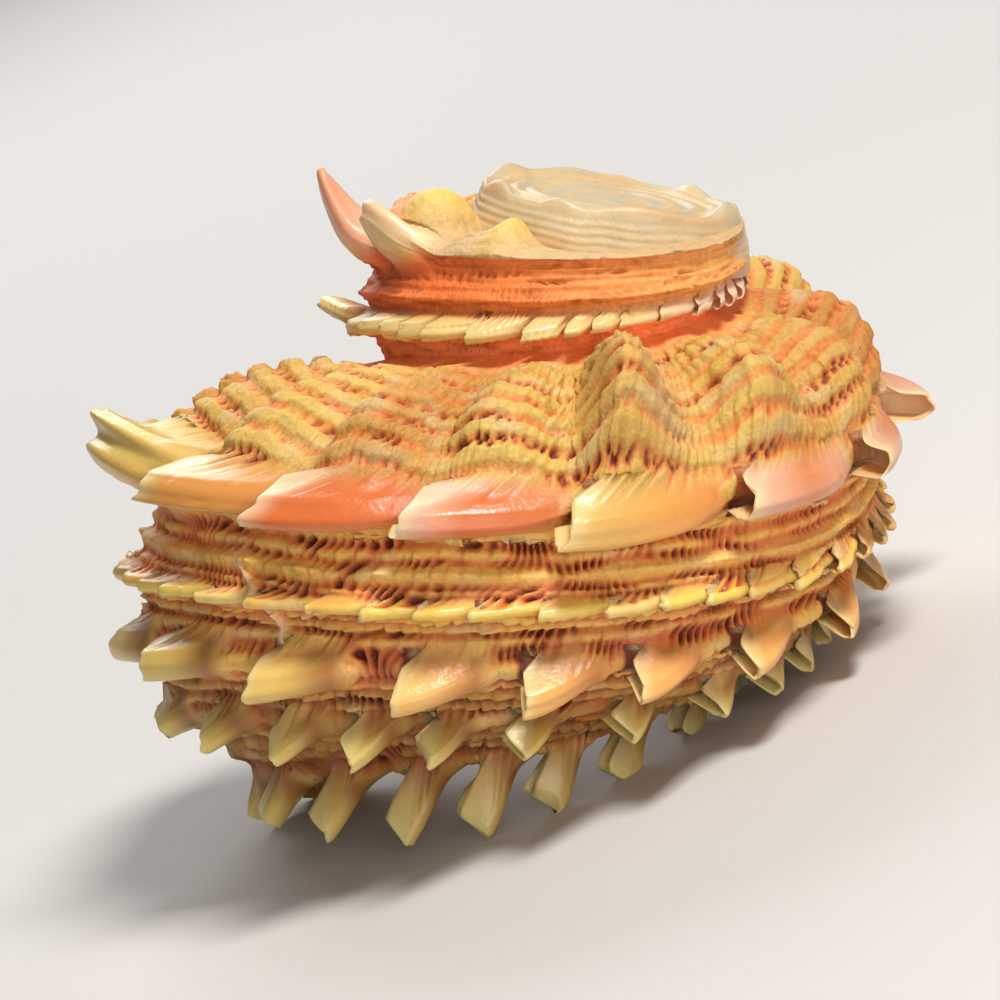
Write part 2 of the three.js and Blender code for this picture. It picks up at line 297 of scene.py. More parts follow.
def along(turns):
    """Millimetres of keel from the lip: the integral of the keel's circle, from a fine table."""
    table = np.linspace(-0.1, 4, 4000)
    step = np.append(0, (keel_radius(table[1:]) + keel_radius(table[:-1])) * np.pi * np.diff(table))
    return np.interp(turns, table, np.cumsum(step) - np.interp(0, table, np.cumsum(step)))


def owner(row, turns):
    """Number of the spine that a line across the whorl belongs to, and how far ahead of it it lies."""
    at = along(row["turns"])
    here = along(turns)
    k = np.clip(np.searchsorted(at - row["foot"], here, side="right") - 1, 0, len(at) - 1)
    scale = section(row["turns"][k], np.full(len(k), row["station"]))[0] / keel_radius(row["turns"][k])
    return k, (at[k] - here) * scale


def pull(row, turns, places, points):
    """Moves points towards the lip and outwards, and says how high on a spine each one is."""
    k, ahead = owner(row, turns)
    size = {name: row[name][k][:, None] for name in row if name not in ("turns", "station", "foot")}
    foot = row["foot"]
    unit = foot / FOOT
    ahead = ahead[:, None]
    a = (LIP_AZIMUTH + 2 * np.pi * turns)[:, None]
    nearest = np.abs(places - row["station"]).argmin()
    step = np.linalg.norm(np.diff(points, axis=1), axis=2)
    across = np.concatenate([np.zeros((len(turns), 1)), np.cumsum(step, axis=1)], axis=1)
    across = across - across[:, nearest : nearest + 1]
    q = across / size["half_width"]
    phase = 2.4 * k[:, None]
    ragged = 1 + 0.05 * np.sin(5.3 * q + phase) + 0.03 * np.sin(11 * q + 2 * phase)
    notch = 1 - size["fork"] * np.exp(-((q / 0.3) ** 2))
    length = np.hypot(size["reach"], size["rise"])
    weight = 1 - smooth(np.abs(q), 0.76, 1)
    hollow = 1 - smooth(np.abs(q), 0.48, 0.7)
    lean = size["lean"] * ragged * notch * (1 + size["skew"] * np.clip(q, -1, 1))
    reach = length * mix(1, ragged * notch, 0.7) * (1 - 0.12 * np.minimum(q * q, 1))
    sizes = [(x + 0 * q) / unit for x in (ahead, lean, reach, size["back"])]
    wall, depth = ((size[name] + 0 * q) / unit for name in ("wall", "depth"))
    forward, outward = rolled(*sizes, FOOT, wall, depth, hollow, size["early"], size["stand"])
    forward, outward = forward * unit, outward * unit
    level = np.clip(outward / np.maximum(length, 0.1), 0, 1.2)
    way = np.stack([np.sin(a), -np.cos(a), 0 * a], -1)
    up = np.stack([np.cos(a) * size["reach"], np.sin(a) * size["reach"], size["rise"]], -1)
    up = up / length[..., None]
    side = np.gradient(points, axis=1)
    side /= np.maximum(np.linalg.norm(side, axis=2, keepdims=True), 1e-9)
    bent = np.clip(q, -1, 1)
    turned = 1.75 * bent * (1 + size["tuck"] * bent)
    ridge, ridge_side = points[:, nearest : nearest + 1], side[:, nearest : nearest + 1]
    roll = 0.6 * size["half_width"]
    stand = size["stand"][..., None]
    back_way = (1 - stand) * up - stand * way
    back_way /= np.linalg.norm(back_way, axis=2, keepdims=True)
    round_place = ridge + (roll * np.sin(turned))[..., None] * ridge_side
    round_place = round_place + (roll * (np.cos(turned) - 1))[..., None] * back_way
    rolled_in = smooth(level * weight, 0.05, 0.6) * (1 - smooth(np.abs(q), 1.0, 1.3))
    bow = size["curl"] * length * (level * level - level) * weight
    free = weight * smooth(ahead, -0.16 * size["back"], 0.1)
    free = free * (1 - smooth(ahead, OPEN_LENGTH * unit, foot))
    moved = mix(points, round_place, rolled_in[..., None])
    moved = moved + way * (weight * (forward - ahead))[..., None] + up * (weight * outward)[..., None]
    moved[..., 2] += bow
    return moved, weight * level, free, (ahead > 0) & (ahead < foot) & (weight > 0.3)


print("keel in the first turn:", along(1.0).round(1), "mm")

# %% [markdown]
# ## Even faces
#
# Lines across the whorl stand close where a spine's tip and open side stretch the surface, and further
# apart elsewhere, so that its faces are all of one size.

# %% Where the lines go
def lines(first, last, step, row=None):
    """Turns from first to last with even steps in millimetres, closer at the spines of a row."""
    table = np.linspace(first, last, 20000)
    density = np.ones_like(table)
    if row is not None:
        k, ahead = owner(row, table)
        big = np.clip(row["reach"][k] / 3, 0.2, 1)
        density += big * (0.6 * ((ahead < 0) & (ahead > -row["back"][k])))
        unit = row["foot"] / FOOT
        open_side, ground = (ahead >= 0) & (ahead < OPEN_LENGTH * unit), (ahead >= OPEN_LENGTH * unit)
        density += big * (4 * open_side + 2 * (ground & (ahead < row["foot"])))
    total = np.append(0, np.cumsum((density[1:] + density[:-1]) / 2 * np.diff(along(table))))
    return np.interp(np.linspace(0, total[-1], int(total[-1] / step) + 2), total, table)


def stations(first, last, step, turns=0.3, rows=()):
    """Places across the whorl from first to last, evenly spaced in millimetres where the turn is given.

    They stand closer where a row's spines have their sides."""
    table = np.linspace(first, last, 4000)
    points = np.stack(section(np.full_like(table, turns), table), -1)
    total = np.append(0, np.cumsum(np.linalg.norm(np.diff(points, axis=0), axis=1)))
    density = np.ones_like(table)
    for row in rows:
        from_row = np.abs(total - np.interp(row["station"], table, total)) / np.median(row["half_width"])
        density += 1.6 * ((from_row > 0.6) & (from_row < 1.15))
    total = np.append(0, np.cumsum((density[1:] + density[:-1]) / 2 * np.diff(total)))
    return np.interp(np.linspace(0, total[-1], int(total[-1] / step) + 2), total, table)


print("lines 0.2 mm apart in the first turn:", len(lines(0, 1, 0.2)))

# %% [markdown]
# ## Uneven values and scales
#
# A grown thing repeats, but never exactly. A few sine waves in different directions give a value that
# drifts smoothly and costs little, and the same seed gives the same waves at every run. The scales on a
# cord are a sawtooth along the growth, because each was the lip's edge for a while.

# %% Uneven values and scales
def wobble(x, y, seed):
    """A smooth uneven value between about -1 and 1: five sine waves in seeded directions."""
    rng = np.random.default_rng(seed)
    angles, shifts, speeds = rng.uniform(0, 2 * np.pi, 5), rng.uniform(0, 6.3, 5), rng.uniform(0.6, 1.7, 5)
    total = 0
    for angle, shift, speed in zip(angles, shifts, speeds):
        total = total + np.sin(speed * (x * np.cos(angle) + y * np.sin(angle)) + shift)
    return total / 3


def scale_height(count):
    """A sawtooth along the growth: each scale rises towards the lip and then drops."""
    s = np.mod(count, 1)
    return (1 - s) * smooth(s, 0, 0.15)


print("heights across one scale:", scale_height(np.linspace(0, 0.99, 5)).round(2))

# %% [markdown]
# ## Knobs and the old lip
#
# Two blunt knobs stand on the spire's ramp. On the flank a thin raised line crosses the cords where the
# lip stood through one pause in the growth. Both could be pieces of their own, but on the real shell
# they are the same skin, so they are added to its height.

# %% Knobs and the old lip
KNOBS = ((1.155, 0.5), (1.25, 0.6))
PAUSE = 0.19


def bumps(turns, place):
    """1 on top of the two blunt knobs, and 0 away from them: a bell curve round each."""
    total = 0
    for at, across_at in KNOBS:
        far = (along(turns)[:, None] - along(at)) ** 2 / 1.7**2
        far = far + ((place[None, :] - across_at) / 0.3) ** 2
        total = total + np.exp(-far)
    return np.clip(total, 0, 1)


def old_lip(turns, place):
    """1 on a line that runs back as it goes down the flank, and 0 away from it."""
    at = along(PAUSE) + 5 * (1 - np.exp(-np.maximum(place[None, :] - 3.1, 0) / 0.8))
    line = np.exp(-(((along(turns)[:, None] - at) / 0.4) ** 2))
    return line * smooth(place, 2.5, 3.1)[None, :] * (1 - smooth(place, 5.4, 5.8))[None, :]


print("the lip paused", along(PAUSE).round(1), "mm back along the keel")

# %% [markdown]
# ## Low relief
#
# Cords run along the whorl and fine growth lines across it. Where they cross, a scale stands up on the
# cord, and a pit is left between the cords. A bump in the finish would be cheaper, but the scales are
# seen against the light at the shell's edge, so all of it is a height that is added along the surface's
# own direction.

# %% Cords, scales and pits
# On the flank: place across the whorl, height, half width as a part of a place, and scaliness.
CORDS = [
    (1.75, 0.25, 0.12, 0.6), (2.15, 0.5, 0.15, 0.6), (2.6, 0.3, 0.11, 0.8), (3.05, 0.62, 0.18, 0.5),
    (3.5, 0.2, 0.09, 0.9), (4.0, 0.5, 0.22, 0.6), (4.5, 0.3, 0.11, 0.8), (4.9, 0.42, 0.14, 0.7),
    (5.3, 0.35, 0.12, 0.8), (6.0, 0.3, 0.3, 0.3), (6.6, 0.3, 0.13, 0.8), (7.05, 0.4, 0.14, 0.8),
    (7.45, 0.3, 0.13, 0.8), (8.0, 0.3, 0.3, 0.3), (8.6, 0.3, 0.14, 0.8), (9.0, 0.4, 0.14, 0.8),
    (9.35, 0.3, 0.12, 0.8), (10.0, 0.3, 0.3, 0.3), (10.5, 0.3, 0.14, 0.8), (10.9, 0.3, 0.14, 0.8),
]
RAMP_CORDS = 9
SCALE = 1.05


def ramp_relief(turns, place):
    """Height over the smooth ramp and depth in a pit: scales on each cord, and pits between two."""
    mm = along(turns)[:, None]
    size = np.clip(keel_radius(turns) / 22, 0.35, 1.15)[:, None]
    share = np.clip(place, 0, 1)[None, :]
    young = 1 + 1.8 * (1 - smooth(turns, 0.03, 0.2))[:, None]
    drift = 0.02 * wobble(mm * 0.5, share * 9, 3) + 0.008 * wobble(mm * 1.9, share * 30, 4)
    lane = (share + drift) * RAMP_CORDS
    part = np.mod(lane, 1)
    number = np.floor(lane)
    gap = np.abs(2 * part - 1)
    pitch = SCALE * size * (1 + 0.25 * np.sin(1.7 * number))
    count = mm / pitch + 2.4 * number + 0.5 * wobble(mm * 0.8, number * 3, 5) + 0.4 * part
    count = count + 0.22 * wobble(mm * 2.2, lane * 3, 16)
    scale = scale_height(count) * np.clip(0.75 + 0.6 * wobble(mm * 0.9, lane * 1.3, 6), 0.1, 1.6)
    cluster = smooth(wobble(mm * 0.3, share * 5, 15), -0.5, 0.6)
    uneven_pit = np.clip(0.35 + 0.9 * wobble(mm * 1.3, lane * 2.3, 7), 0, 1.3) * mix(0.35, 1.0, cluster)
    between = smooth(gap, 0.35, 0.85)
    pit = smooth(gap, 0.35, 0.8) * uneven_pit * (0.5 + 0.5 * np.cos(2 * np.pi * count)) ** 1.6
    growth = mm / (0.42 * size) + 1.5 * share + 0.6 * wobble(mm * 0.9, share * 20, 9)
    lamella = 0.5 + 0.5 * np.cos(2 * np.pi * growth)
    plain = smooth(share, 0.1, 0.24) * (1 - 0.6 * smooth(share, 0.95, 1))
    plain = plain * (1 - 0.75 * smooth(turns, 1, 1.05))[:, None]
    cord = 0.2 * (1 - between) + young * 0.34 * scale * (1 - 0.5 * between) - 0.42 * pit
    fine = 0.04 * lamella + 0.12 * wobble(mm * 0.9, lane * 0.9, 10) + 0.05 * wobble(mm * 3.1, lane * 3.1, 18)
    deep = 1.2 * pit + 0.3 * between + 0.12 * (1 - lamella) - 0.3 * scale + 0.08
    return plain * size * (cord + fine), plain * np.clip(deep, 0, 1)


def flank_relief(turns, place):
    """Height over the smooth flank and depth in a groove: the highest cord at each place, combed across."""
    mm = along(turns)[:, None]
    size = np.clip(keel_radius(turns) / 22, 0.35, 1.15)[:, None]
    place = place[None, :]
    here = place + 0.06 * wobble(mm * 0.4, place, 8) + 0.02 * wobble(mm * 1.7, place * 5, 12)
    cords = 0
    for n, (at, high, half, scaly) in enumerate(CORDS):
        bump = np.exp(-(((here - at) / half) ** 2))
        pitch = (1.1 + 0.3 * (n % 3)) * size
        scale = scale_height(mm / pitch + 0.29 * n + 0.6 * wobble(mm * 0.6, n, 11))
        patchy = np.clip(1 + 0.6 * wobble(mm * 0.9, n * 5, 19), 0.25, 1.7)
        cords = np.maximum(cords, high * patchy * bump * (1 - 0.55 * scaly + 0.8 * scaly * scale))
    cords = cords * (1 - 0.6 * smooth(turns, 1, 1.05))[:, None]
    combed = mm / (0.75 * size) + 0.9 * here + 1.4 * wobble(mm * 0.7, here * 3, 13)
    comb = 0.5 + 0.5 * np.cos(2 * np.pi * combed)
    comb = comb * np.clip(0.7 + 0.8 * wobble(mm * 1.2, here * 5, 14), 0, 1.2)
    rough = np.clip(0.7 + 0.6 * wobble(mm * 1.7, here * 6, 17), 0, 1.2)
    groove = np.clip(1 - cords / 0.28, 0, 1)
    height = size * (cords - 0.62 * groove * comb * rough + 0.09 * wobble(mm * 1.4, here * 4, 23))
    return height, np.clip(groove * mix(0.42, 1.15, comb * rough), 0, 1)


def relief(turns, place):
    """Height in millimetres over the smooth shell, and how deep in a pit or groove each place is."""
    on_ramp, ramp_pit = ramp_relief(turns, place)
    on_flank, flank_pit = flank_relief(turns, place)
    on_flank = mix(on_flank, 0.55, old_lip(turns, place))
    flank_pit = flank_pit * (1 - old_lip(turns, place))
    on_wall = smooth(place, NAVEL, NAVEL + 0.4)[None, :]
    height = np.where(place[None, :] < KEEL, on_ramp, on_flank * (1 - 0.7 * on_wall))
    deep = np.where(place[None, :] < KEEL, ramp_pit, flank_pit * (1 - 0.7 * on_wall))
    height = (height + 1.9 * bumps(turns, place)) * smooth(turns, 0, 0.01)[:, None]
    return height, np.clip(deep, 0, 1)


print("cords on the ramp:", RAMP_CORDS, "and on the flank:", len(CORDS))

# %% [markdown]
# ## Colour
#
# Each zone of the shell has its own two colours, one for what stands out and one for what lies deep.
# A picture laid over the shell could hold them, but it would stretch where the whorls shrink. So they
# are mixed by the place across the whorl, the age, and how deep the surface lies, and stored on the
# mesh. The material adds what is finer than the mesh.

# %% The palette
def colour(red, green, blue):
    """A screen colour from 0 to 255 as the linear values that the render works in."""
    c = np.array([red, green, blue]) / 255
    return np.where(c <= 0.04045, c / 12.92, ((c + 0.055) / 1.055) ** 2.4)


OCHRE, YELLOW, RAMP_PIT = colour(212, 146, 66), colour(236, 198, 102), colour(132, 52, 26)
BAND, TUBE = colour(208, 176, 128), colour(228, 198, 112)
CORAL, SALMON, PALE = colour(226, 98, 66), colour(228, 142, 88), colour(236, 210, 156)
GREENISH, CORD_BROWN, GROOVE = colour(222, 192, 92), colour(230, 164, 90), colour(108, 36, 20)
CREAM, GREY, ORANGE = colour(210, 184, 138), colour(194, 182, 154), colour(222, 116, 50)
LIP_WHITE, PEARL_PINK = colour(250, 240, 222), colour(236, 214, 206)

# The keel's colour by turn: each spine starts dark at its foot and ends in a pale tip.
KEEL_TONES = [
    (0.00, GREENISH), (0.12, colour(228, 200, 110)), (0.165, colour(228, 182, 96)),
    (0.172, colour(238, 214, 150)), (0.182, colour(228, 158, 80)),
    (0.225, colour(226, 140, 74)), (0.233, colour(242, 192, 158)),
    (0.243, colour(226, 116, 62)), (0.286, colour(224, 106, 56)), (0.294, colour(248, 216, 200)),
    (0.305, colour(238, 160, 128)), (0.312, colour(222, 106, 56)), (0.345, colour(224, 128, 70)),
    (0.354, colour(230, 196, 112)), (0.385, colour(228, 162, 82)), (0.415, colour(226, 128, 76)),
    (0.43, colour(244, 202, 178)), (0.46, colour(228, 142, 98)), (0.515, colour(240, 196, 170)),
    (0.55, colour(228, 138, 98)), (0.60, colour(240, 186, 160)), (0.65, colour(228, 138, 100)),
    (1.08, colour(236, 146, 112)), (1.13, colour(240, 190, 160)), (1.20, PALE), (1.30, CREAM),
]


def tone_at(tones, t):
    """The colour of a table of (turns, colour) at each turn, blended between the two nearest."""
    at = [a for a, _ in tones]
    return np.stack([np.interp(t[..., 0], at, [c[k] for _, c in tones]) for k in range(3)], -1)


print("tones along the keel:", len(KEEL_TONES))

# %% [markdown]
# ## Colours of each zone
#
# On the real shell the ramp is ochre with red pits, the flank's cords are yellow-brown over dark red
# grooves, the spines are paler and pinker to their tips, and the old whorls are orange under a cream
# edge. Each function lays one colour over another, the way a painter glazes, from the widest to the
# smallest. Shade is painted in too: in the hollows between rows, at the feet of the lower spines and
# over the underside, and the coral by the suture is painted brighter against its shade.

# %% Tints
# Painted shade, in the grooves' dark red, lies in the hollows between two rows and just under the keel:
# place, half width and strength.
SHADED_HOLLOWS = [(1.62, 0.28, 0.6), (5.15, 0.35, 0.35), (7.2, 0.45, 0.5), (9.2, 0.5, 0.6)]


def ramp_tint(t, v, deep, patch, fleck):
    """Ochre to yellow with pale flecks, orange to dark red in the pits, and coral by the suture, painted
    brighter than its own to lift the shade there.
    """
    high = mix(OCHRE, YELLOW, np.clip(0.6 + 0.5 * patch, 0, 1))
    high = 0.78 * mix(high, PALE, 0.5 * fleck)
    # Painted light: the shell's coral by the suture, made brighter than its own colour so that the shade
    # there does not darken it.
    high = mix(high, 1.3 * colour(252, 146, 88), 1 - smooth(v, 0.08, 0.22))
    slope = np.exp(-(((t - 0.383) / 0.014) ** 2)) * smooth(v, 0.15, 0.35) * (1 - smooth(v, 0.7, 0.9))
    high = mix(high, colour(206, 166, 122), 0.7 * slope)
    deep = deep * (1 - 0.7 * slope)
    return mix(mix(high, ORANGE, 0.75 * smooth(deep, 0.1, 0.5)), RAMP_PIT, smooth(deep, 0.4, 0.95)), deep


def flank_tint(t, v, deep, patch, fleck, line):
    """Yellow-brown cords over orange and then dark red grooves, with painted shade that darkens all of them
    towards the underside and in the hollows between rows.
    """
    high = mix(mix(CORD_BROWN, YELLOW, 0.6), GREENISH, np.exp(-(((v - CORD_ROW) / 0.4) ** 2)))
    high = mix(high, mix(CORAL, SALMON, 0.5), 0.3 * np.clip(patch, 0, 1) * (1 - smooth(v, 6, 7)))
    high = mix(1.12 * high, PALE, 0.45 * fleck)
    # Painted shade: below the second row the cords, the orange and the grooves are all darkened towards the
    # underside.
    high = mix(high, colour(184, 138, 66), smooth(v, 6.3, 8) * (1 - 0.6 * fleck))
    middle = mix(mix(ORANGE, CORAL, 0.5 * np.clip(patch, 0, 1)), 0.6 * ORANGE, smooth(v, 6, 8))
    low = mix(GROOVE, 0.45 * GROOVE, smooth(v, 6, 8))
    flank_tone = mix(high, middle, 0.92 * smooth(deep, 0.05, 0.45))
    flank_tone = mix(flank_tone, low, smooth(deep, 0.35, 0.8))
    # Painted shade: the hollows between rows are darkened towards the grooves' dark red, more where the
    # surface lies deep.
    hollow_shade = sum(strength * np.exp(-(((v - at) / wide) ** 2)) for at, wide, strength in SHADED_HOLLOWS)
    hollow_shade = hollow_shade * (1 - smooth(t, 0.98, 1.02)) * (0.4 + 0.6 * smooth(deep, 0.05, 0.5))
    flank_tone = mix(flank_tone, 0.9 * GROOVE, hollow_shade)
    return mix(flank_tone, colour(248, 208, 164), 0.9 * line)


def spire_tint(t, v, deep, level, streak, knobs):
    """Coral to brown with growth streaks, a light band above the keel, pale jags, yellow knobs, and by the
    suture a coral painted brighter to lift its shade.
    """
    spire = mix(mix(ORANGE, CORAL, 0.5 * (1 - smooth(t, 1.1, 1.25))), CORD_BROWN, smooth(t, 1.2, 1.5))
    spire = mix(1.22 * spire, 0.6 * ORANGE, 0.25 * deep + 0.15 * streak)
    # Painted light: the coral by the suture below, brighter than its own colour so that the shade there does
    # not darken it.
    spire = mix(spire, colour(255, 154, 96), smooth(v, 6.5, 7.0))
    jags = mix(colour(226, 198, 130), colour(236, 196, 172), smooth(t, 1.35, 1.5))
    spire = mix(spire, jags, np.exp(-(((v - 5.7) / 0.45) ** 2)) * 0.6)
    spire = mix(spire, jags, smooth(level, 0.15, 0.5))
    band_tone = mix(mix(BAND, SALMON, 0.5 * (1 - smooth(t, 1.08, 1.18))), YELLOW, knobs)
    return mix(band_tone, spire, smooth(v, 1.0, 1.35) * (1 - smooth(t, 1.9, 2.0)))


def tint(turns, place, deep, level, free):
    """Colour of every point: ramp, flank, keel, rows of spines and free edges, and then the spire."""
    t, v = turns[:, None, None], place[None, :, None]
    mm = along(turns)[:, None]
    patch = wobble(mm * 0.35, place[None, :] * 1.7, 21)[..., None]
    across = np.where(place < KEEL, 15 * place, 12.6 + 2.4 * place)[None, :]
    fleck = np.clip(1.3 * wobble(1.4 * mm, 1.4 * across, 61) - 0.15, 0, 1)[..., None]
    deep, level, free = deep[..., None], level[..., None], free[..., None]

    shell, ramp_deep = ramp_tint(t, v, deep, patch, fleck)
    lower = flank_tint(t, v, ramp_deep, patch, fleck, old_lip(turns, place)[..., None])
    shell = mix(shell, lower, smooth(v, 1.0, 1.5))

    on_keel = np.exp(-(((v - 1.1) / 0.7) ** 2)) * smooth(level, 0.03, 0.3)
    shell = mix(shell, 0.88 * tone_at(KEEL_TONES, t), 0.95 * on_keel)
    rows = smooth(v, 5, 5.4) * smooth(level, 0.05, 0.35)
    pink = np.exp(-(((v - SECOND) / 0.7) ** 2)) * smooth(t, 0.2, 0.35) * 0.6
    # Painted shade at the feet of the lower rows' spines, which fades to their own colour as they rise.
    foot_shade_to_tube = mix(colour(150, 96, 42), TUBE, smooth(level, 0.25, 0.85))
    shell = mix(shell, mix(foot_shade_to_tube, SALMON, pink), 0.9 * rows)
    shell = mix(shell, mix(PALE, colour(240, 226, 160), smooth(v, 5, 7)), 0.6 * free)

    drift = wobble(mm * 0.9, place[None, :] * 2, 51)
    streak = (0.5 + 0.5 * np.sin(7 * mm + 2 * drift))[..., None]
    spire = spire_tint(t, v, ramp_deep, level, streak, bumps(turns, place)[..., None])
    spire = mix(spire, tone_at(KEEL_TONES, t), 0.9 * np.clip(1.3 * on_keel, 0, 1))
    return np.clip(mix(shell, spire, smooth(t, 0.98, 1.04)), 0, 1)


print("dark hollows between rows:", len(SHADED_HOLLOWS))

# %% [markdown]
# ## From formula to mesh
#
# Sculpting by hand could give the same skin, but every spine would be done one by one. Here a grid of
# points becomes a mesh by numbering its faces, and the whole row comes at once. The same step stores
# the colour, the depth and the spine height on its vertices, and a map that follows the growth.

# %% Sheets
# The coiling axis leans over by 29 degrees to the side and 5 back, and its origin is lifted by this.
LEAN = Matrix.Rotation(math.radians(29), 3, "Y") @ Matrix.Rotation(math.radians(-5), 3, "X")
SET_DOWN = Vector((14.55, 5.98, 35.26))
box_low, box_high = (np.array(c) for c in cad_box)


def set_down(points):
    """The shell's own millimetres turned by the lean, lifted, over a thousand; kept in the solid's box."""
    world = (points @ np.array(LEAN).T + np.array(SET_DOWN)) / 1000
    return np.clip(world, box_low, box_high)


def close_seams(mesh):
    """Joins vertices that lie on one another, where a ring meets itself or at a pole."""
    work = bmesh.new()
    work.from_mesh(mesh)
    bmesh.ops.remove_doubles(work, verts=work.verts, dist=1e-7)
    work.to_mesh(mesh)
    work.free()


def values_of(array):
    """An array as the flat list of small floats that a mesh takes."""
    return array.astype(np.float32).ravel()


def sheet(name, points, colours, material, uv=None, closed=False, **values):
    """A mesh from an (n, m, 3) grid of points; its faces look along second axis x first axis."""
    n, m = points.shape[:2]
    i, j = np.meshgrid(np.arange(n - 1), np.arange(m - 1), indexing="ij")
    a = (i * m + j).ravel()
    faces = np.stack([a, a + 1, a + m + 1, a + m], 1)
    mesh = bpy.data.meshes.new(name)
    mesh.vertices.add(n * m)
    mesh.vertices.foreach_set("co", values_of(set_down(points.reshape(-1, 3))))
    mesh.loops.add(faces.size)
    mesh.loops.foreach_set("vertex_index", faces.ravel())
    mesh.polygons.add(len(faces))
    mesh.polygons.foreach_set("loop_start", np.arange(0, faces.size, 4))
    mesh.update(calc_edges=True)
    tints = mesh.color_attributes.new("Tint", "FLOAT_COLOR", "POINT")
    solid_tones = np.append(colours.reshape(-1, 3), np.ones((n * m, 1)), 1)
    tints.data.foreach_set("color", values_of(solid_tones))
    for key, value in values.items():
        mesh.attributes.new(key, "FLOAT", "POINT").data.foreach_set("value", values_of(value))
    if uv is not None:
        growth = mesh.uv_layers.new(name="Growth")
        growth.data.foreach_set("uv", values_of(uv.reshape(-1, 2)[faces.ravel()]))
    if closed:
        close_seams(mesh)
    mesh.shade_smooth()
    piece = bpy.data.objects.new(name, mesh)
    bpy.context.collection.objects.link(piece)
    piece.data.materials.append(material)
    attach(piece, "root")
    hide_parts("shell")
    print(name, len(mesh.polygons), "faces")
    return piece


def outward(points):
    """Unit directions out of a grid of points: the across step crossed with the along step."""
    along_step, across_step = np.gradient(points, axis=0), np.gradient(points, axis=1)
    normal = np.cross(across_step, along_step)
    return normal / np.maximum(np.linalg.norm(normal, axis=2, keepdims=True), 1e-9)


def strip(name, turns, places, material, row=None):
    """A band of the shell's outside between two places across the whorl."""
    points = in_space(turns[:, None], *section(turns[:, None], places[None, :]))
    level = free = np.zeros(points.shape[:2])
    height, deep = relief(turns, places)
    if row is not None:
        points, level, free, open_side = pull(row, turns, places, points)
        bare = smooth(level, 0.02, 0.25) * np.where(row["foot"] == FOOT, 0.92, 0.45)
        # Painted shade: the low part of a spine's open side, under its overhang, takes a pit's depth and so
        # a pit's dark colour.
        deep = np.where(open_side & (level < 0.5), 0.75, deep * (1 - bare))
        fine = wobble(along(turns)[:, None], 3 * places[None, :], 29)
        height = height * (1 - bare) + 0.05 * bare * fine
    points = points + outward(points) * height[..., None]
    uv = np.stack(np.broadcast_arrays(along(turns)[:, None] / 10, places[None, :]), -1)
    tones = tint(turns, places, deep, level, free)
    return sheet(name, points, tones, material, uv, Deep=deep, Level=level)


print("the solid's box, in millimetres:", (1000 * (box_high - box_low)).round(1))

# %% [markdown]
# ## The shell's finish
#
# The outside is dull and chalky, but the tips of the spines are worn smooth and shine. The inside is
# mother-of-pearl. Specks finer than the mesh could be painted, but noise in the shell's own place has
# no seams and no end to its detail, so one group of nodes gives both finishes their specks and the
# height of their bump.

# %% Nodes that both finishes share
def node(tree, kind, **inputs):
    """A new node with some of its inputs set: a value, or another node's output to link."""
    made = tree.nodes.new(kind)
    for name, value in inputs.items():
        key = name.replace("_", " ")
        if isinstance(value, bpy.types.NodeSocket):
            tree.links.new(value, made.inputs[key])
        else:
            made.inputs[key].default_value = value
    return made


def maths(tree, operation, first, second):
    """The sum or product of two outputs."""
    made = tree.nodes.new("ShaderNodeMath")
    made.operation = operation
    tree.links.new(first, made.inputs[0])
    tree.links.new(second, made.inputs[1])
    return made.outputs[0]


def spread(tree, value, before, after):
    """A value carried in a straight line from one range to another, and held at its ends."""
    made = node(tree, "ShaderNodeMapRange", Value=value)
    made.inputs["From Min"].default_value, made.inputs["From Max"].default_value = before
    made.inputs["To Min"].default_value, made.inputs["To Max"].default_value = after
    return made.outputs["Result"]


def multiplied(tree, share, under, over):
    """A colour times another, by a share; the second may be an output or a fixed colour."""
    made = tree.nodes.new("ShaderNodeMix")
    made.data_type, made.blend_type = "RGBA", "MULTIPLY"
    factor, a, b = made.inputs[0], made.inputs[6], made.inputs[7]
    tree.links.new(share, factor)
    tree.links.new(under, a)
    if isinstance(over, bpy.types.NodeSocket):
        tree.links.new(over, b)
    else:
        b.default_value = over
    return made.outputs[2]


WARM = (1.0, 0.7, 0.5, 1)


def grain_group():
    """Colour and height out of a colour, a strength and the place.

    The colour is multiplied by two sizes of speck, and by a warm tone in larger spots."""
    group = bpy.data.node_groups.new("Grain", "ShaderNodeTree")
    group.interface.new_socket("Colour", in_out="INPUT", socket_type="NodeSocketColor")
    group.interface.new_socket("Strength", in_out="INPUT", socket_type="NodeSocketFloat")
    group.interface.new_socket("Colour", in_out="OUTPUT", socket_type="NodeSocketColor")
    group.interface.new_socket("Height", in_out="OUTPUT", socket_type="NodeSocketFloat")
    inside, outside = group.nodes.new("NodeGroupInput"), group.nodes.new("NodeGroupOutput")
    place = group.nodes.new("ShaderNodeTexCoord").outputs["Object"]
    coarse = node(group, "ShaderNodeTexNoise", Vector=place, Scale=900.0, Detail=3.0).outputs["Fac"]
    fine = node(group, "ShaderNodeTexNoise", Vector=place, Scale=3500.0, Detail=4.0).outputs["Fac"]
    warm = node(group, "ShaderNodeTexNoise", Vector=place, Scale=1800.0, Detail=3.0).outputs["Fac"]
    both = maths(group, "ADD", coarse, fine)
    strength = inside.outputs["Strength"]
    specks = spread(group, both, (0.6, 1.4), (0.55, 1.3))
    specked = multiplied(group, strength, inside.outputs["Colour"], specks)
    warm_share = maths(group, "MULTIPLY", spread(group, warm, (0.5, 0.75), (0.0, 1.0)), strength)
    warmed = multiplied(group, warm_share, specked, WARM)
    group.links.new(warmed, outside.inputs["Colour"])
    group.links.new(both, outside.inputs["Height"])
    return group


GRAIN = grain_group()
print("grain:", len(GRAIN.nodes), "nodes")

